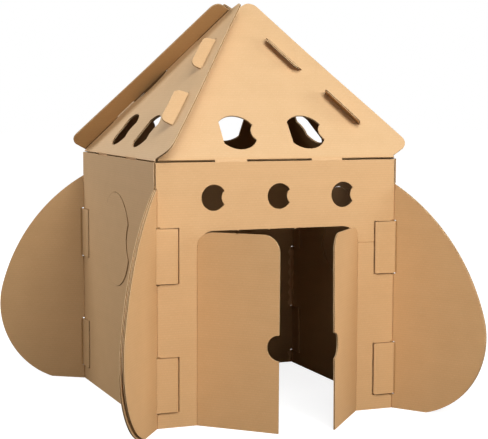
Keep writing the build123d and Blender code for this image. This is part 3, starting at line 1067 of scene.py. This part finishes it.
    relief = add_node(tree, "ShaderNodeBump", {
        "Height": washboard.outputs[0], "Strength": 0.5, "Distance": 0.09 * MM})
    paper = add_node(tree, "ShaderNodeBump", {
        "Height": fibres, "Strength": 0.35, "Distance": 0.12 * MM,
        "Normal": relief.outputs["Normal"]})
    shader = add_node(tree, "ShaderNodeBsdfPrincipled", {
        "Base Color": finished.outputs["Vector"], "Roughness": 0.62, "IOR": 1.55,
        "Normal": paper.outputs["Normal"]})
    add_node(tree, "ShaderNodeOutputMaterial", {"Surface": shader.outputs["BSDF"]})
    return material


def bare_paper(name, grain, spread, colours, relief_strength, roughness):
    """Paper with its fibres laid bare: two tones in a fine grain, furry and without any sheen."""
    material, tree = new_material(name)
    place = add_node(tree, "ShaderNodeAttribute", attribute_name="on_sheet").outputs["Vector"]
    fur = add_node(tree, "ShaderNodeTexNoise", {
        "Vector": place, "Scale": 1 / grain, "Detail": 2.0}).outputs["Fac"]
    low, high, most = spread
    share = add_node(tree, "ShaderNodeMapRange", {
        "Value": fur, "From Min": low, "From Max": high, "To Max": most})
    first, second = colours
    colour = add_node(tree, "ShaderNodeMix", {
        "Factor": share.outputs["Result"], "A": (*first, 1), "B": (*second, 1)}, data_type="RGBA")
    relief = add_node(tree, "ShaderNodeBump", {
        "Height": fur, "Strength": relief_strength, "Distance": 0.2 * MM})
    shader = add_node(tree, "ShaderNodeBsdfPrincipled", {
        "Base Color": colour.outputs["Result"], "Roughness": roughness, "IOR": 1.45,
        "Normal": relief.outputs["Normal"]})
    add_node(tree, "ShaderNodeOutputMaterial", {"Surface": shader.outputs["BSDF"]})
    return material


def cut_liner(name, board):
    """Kraft liner cut through by the die: a thin, slightly furry line, paler than the face."""
    colours = board.cut_edge, board.kraft_pale
    return bare_paper(name, 1.6 * MM, (0.35, 0.65, 0.7), colours, 0.5, 0.92)


def fluting(name, board):
    """Semichemical fluting medium: rougher and darker than the liners, only in the open flutes."""
    colours = board.fluting, board.kraft_dark
    return bare_paper(name, 2 * MM, (0.3, 0.7, 0.5), colours, 0.6, 0.95)


# Stage


def add_camera(stage):
    """The camera, with the picture's whole width on its sensor."""
    data = bpy.data.cameras.new("camera")
    data.sensor_width = SENSOR_WIDTH
    data.sensor_fit = "HORIZONTAL"
    data.lens = stage.focal_pixels * SENSOR_WIDTH / PICTURE_WIDTH
    data.clip_end = VIEW_RANGE
    camera = bpy.data.objects.new("camera", data)
    turn = Matrix.Rotation(-stage.heading, 4, "Z") @ Matrix.Rotation(pi / 2 - stage.pitch, 4, "X")
    turn = turn @ Matrix.Rotation(stage.roll, 4, "Z")
    camera.matrix_world = Matrix.Translation(stage.camera_place) @ turn
    bpy.context.scene.collection.objects.link(camera)
    bpy.context.scene.camera = camera


def add_lamp(name, place, target, size, power, colour):
    """A square soft lamp that looks at a point."""
    data = bpy.data.lights.new(name, "AREA")
    data.shape = "SQUARE"
    data.size = size
    data.energy = power
    data.color = colour
    lamp = bpy.data.objects.new(name, data)
    lamp.location = place
    lamp.rotation_euler = (Vector(target) - Vector(place)).to_track_quat("-Z", "Y").to_euler()
    bpy.context.scene.collection.objects.link(lamp)


def add_world(stage):
    """Even grey light from all round, which the camera sees as white."""
    world = bpy.data.worlds.new("studio_air")
    world.use_nodes = True
    tree = world.node_tree
    tree.nodes.clear()
    seen = add_node(tree, "ShaderNodeLightPath").outputs["Is Camera Ray"]
    light = add_node(tree, "ShaderNodeBackground", {
        "Color": (0.97, 0.98, 1.0, 1), "Strength": stage.ambient})
    white = add_node(tree, "ShaderNodeBackground", {"Color": (1, 1, 1, 1), "Strength": 1.0})
    both = add_node(tree, "ShaderNodeMixShader", {
        0: seen, 1: light.outputs["Background"], 2: white.outputs["Background"]})
    add_node(tree, "ShaderNodeOutputWorld", {"Surface": both.outputs["Shader"]})
    bpy.context.scene.world = world


def add_floor(stage):
    """A wide pale floor, white to the camera but for the shadow of the object."""
    material, tree = new_material("pale_studio_floor")
    seen = add_node(tree, "ShaderNodeLightPath").outputs["Is Camera Ray"]
    matt = add_node(tree, "ShaderNodeBsdfDiffuse", {"Color": (*stage.ground, 1)})
    pale = add_node(tree, "ShaderNodeBsdfDiffuse", {"Color": (0.4, 0.4, 0.4, 1)})
    # Beyond the reach of the lamps the glow alone makes it white
    place = add_node(tree, "ShaderNodeNewGeometry").outputs["Position"]
    distance = add_node(tree, "ShaderNodeVectorMath", {0: place}, operation="LENGTH")
    strength = add_node(tree, "ShaderNodeMapRange", {
        "Value": distance.outputs["Value"], "From Min": GLOW_REACH[0], "From Max": GLOW_REACH[1],
        "To Min": GLOW[0], "To Max": GLOW[1]})
    glow = add_node(tree, "ShaderNodeEmission", {
        "Color": (1, 1, 1, 1), "Strength": strength.outputs["Result"]})
    bright = add_node(tree, "ShaderNodeAddShader", {
        0: pale.outputs["BSDF"], 1: glow.outputs["Emission"]})
    both = add_node(tree, "ShaderNodeMixShader", {
        0: seen, 1: matt.outputs["BSDF"], 2: bright.outputs["Shader"]})
    add_node(tree, "ShaderNodeOutputMaterial", {"Surface": both.outputs["Shader"]})
    mesh = bpy.data.meshes.new("studio_floor")
    corners = ((-1, -1), (1, -1), (1, 1), (-1, 1))
    points = [(x * FLOOR_REACH, y * FLOOR_REACH, -FLOOR_DROP) for x, y in corners]
    mesh.from_pydata(points, [], [(0, 1, 2, 3)])
    mesh.materials.append(material)
    floor = bpy.data.objects.new("studio_floor", mesh)
    bpy.context.scene.collection.objects.link(floor)


# Operators


class PLAYHOUSE_OT_front_sheet(bpy.types.Operator):
    """Cut and fold the front sheet, with the doorway, its two leaves and the portholes"""

    bl_idname = "playhouse.front_sheet"
    bl_label = "Front Sheet"
    bl_options = {"REGISTER", "UNDO"}

    def execute(self, context):
        shape = STRAIGHT | {
            "wall": -1 * MM, "fin": 1 * MM, "fin_shift": 0.1, "leaf": 2.5 * MM, "roof": -2.5 * MM,
            "flange": 1.5 * MM, "flange_shift": 0.4, "flange_trim": (8 * MM, -3 * MM),
            "roof_tab": (1 * MM, 1 * MM), "tab_trim": (0, -5 * MM), "tab_short": (8 * MM, 12 * MM),
            "slit": 4.4 * MM, "eave_press": 0.15, "corner_gap": (0, 4.4 * MM)}
        build_sheet("front_sheet_board", "front_sheet", -pi / 2, (), shape, doorway=True)
        return {"FINISHED"}


class PLAYHOUSE_OT_side_sheets(bpy.types.Operator):
    """Cut and fold the right and left sheets, each with a round flap"""

    bl_idname = "playhouse.side_sheets"
    bl_label = "Side Sheets"
    bl_options = {"REGISTER", "UNDO"}

    def execute(self, context):
        shape = STRAIGHT | {
            "wall": -1.5 * MM, "fin": 1.4 * MM, "roof": -3 * MM, "flange": 2 * MM,
            "ridge_gap": 5 * MM, "eave_press": 0.8}
        right = shape | {
            "fin_shift": 0.45, "flange_shift": 1.3, "flange_trim": (0, -4 * MM),
            "roof_tab": (-6 * MM, -20 * MM), "tab_trim": (3 * MM, -5 * MM), "slit": 0.8 * MM}
        left = shape | {
            "fin_shift": 0.2, "gape": radians(-0.15), "curl": 3 * MM, "swell": 19 * MM,
            "flange_shift": 2.2, "flange_trim": (0, -16 * MM), "roof_tab": (1 * MM, 1 * MM),
            "slit": 2.6 * MM, "ridge_sag": 19 * MM}
        build_sheet("right_sheet_board", "right_sheet", 0, (-1,), right, flap=True)
        build_sheet("left_sheet_board", "left_sheet", pi, (1,), left, flap=True)
        return {"FINISHED"}


class PLAYHOUSE_OT_back_sheet(bpy.types.Operator):
    """Cut and fold the back sheet, which has tabs at both its upright edges"""

    bl_idname = "playhouse.back_sheet"
    bl_label = "Back Sheet"
    bl_options = {"REGISTER", "UNDO"}

    def execute(self, context):
        shape = STRAIGHT | {
            "wall": -2 * MM, "fin": 1.2 * MM, "fin_shift": 0.3, "roof": -2 * MM,
            "flange": 1.6 * MM, "flange_shift": 0.9, "flange_trim": (0, -15 * MM),
            "roof_tab": (1 * MM, 1 * MM), "slit": 2 * MM, "eave_press": 0.5, "slot_gap": 4 * MM}
        build_sheet("back_sheet_board", "back_sheet", pi / 2, (-1, 1), shape)
        return {"FINISHED"}


class PLAYHOUSE_OT_stage(bpy.types.Operator):
    """Set up the camera, the soft lamps, the floor and the white surroundings"""

    bl_idname = "playhouse.stage"
    bl_label = "Studio Stage"
    bl_options = {"REGISTER", "UNDO"}

    def execute(self, context):
        *_, stage = settings()
        add_camera(stage)
        add_world(stage)
        add_floor(stage)
        for name, (place, aim, size, colour) in LAMPS.items():
            power = getattr(stage, f"{name}_power")
            add_lamp(f"{name}_lamp", place, (0, 0, aim), size, power, colour)
        context.scene.view_settings.view_transform = "Standard"
        return {"FINISHED"}


class PLAYHOUSE_PT_panel(bpy.types.Panel):
    """The playhouse's sizes and building steps"""

    bl_label = "Cardboard Rocket Playhouse"
    bl_idname = "PLAYHOUSE_PT_panel"
    bl_space_type = "VIEW_3D"
    bl_region_type = "UI"
    bl_category = "Playhouse"

    def draw(self, context):
        layout = self.layout
        for group in settings():
            box = layout.box()
            for name in group.__annotations__:
                box.prop(group, name)
        for step in STEPS:
            layout.operator(step.bl_idname)


GROUPS = {
    "playhouse_sizes": PlayhouseSizes,
    "playhouse_openings": PlayhouseOpenings,
    "playhouse_board": PlayhouseBoard,
    "playhouse_stage": PlayhouseStage,
}
STEPS = (
    PLAYHOUSE_OT_stage,
    PLAYHOUSE_OT_front_sheet,
    PLAYHOUSE_OT_side_sheets,
    PLAYHOUSE_OT_back_sheet,
)


def register():
    for name, group in GROUPS.items():
        bpy.utils.register_class(group)
        setattr(bpy.types.Scene, name, PointerProperty(type=group))
    for step in STEPS:
        bpy.utils.register_class(step)
    bpy.utils.register_class(PLAYHOUSE_PT_panel)


def unregister():
    bpy.utils.unregister_class(PLAYHOUSE_PT_panel)
    for step in reversed(STEPS):
        bpy.utils.unregister_class(step)
    for name, group in reversed(GROUPS.items()):
        delattr(bpy.types.Scene, name)
        bpy.utils.unregister_class(group)


def main():
    register()
    bpy.ops.playhouse.stage()
    bpy.ops.playhouse.front_sheet()
    bpy.ops.playhouse.side_sheets()
    bpy.ops.playhouse.back_sheet()


if __name__ == "__main__":
    main()
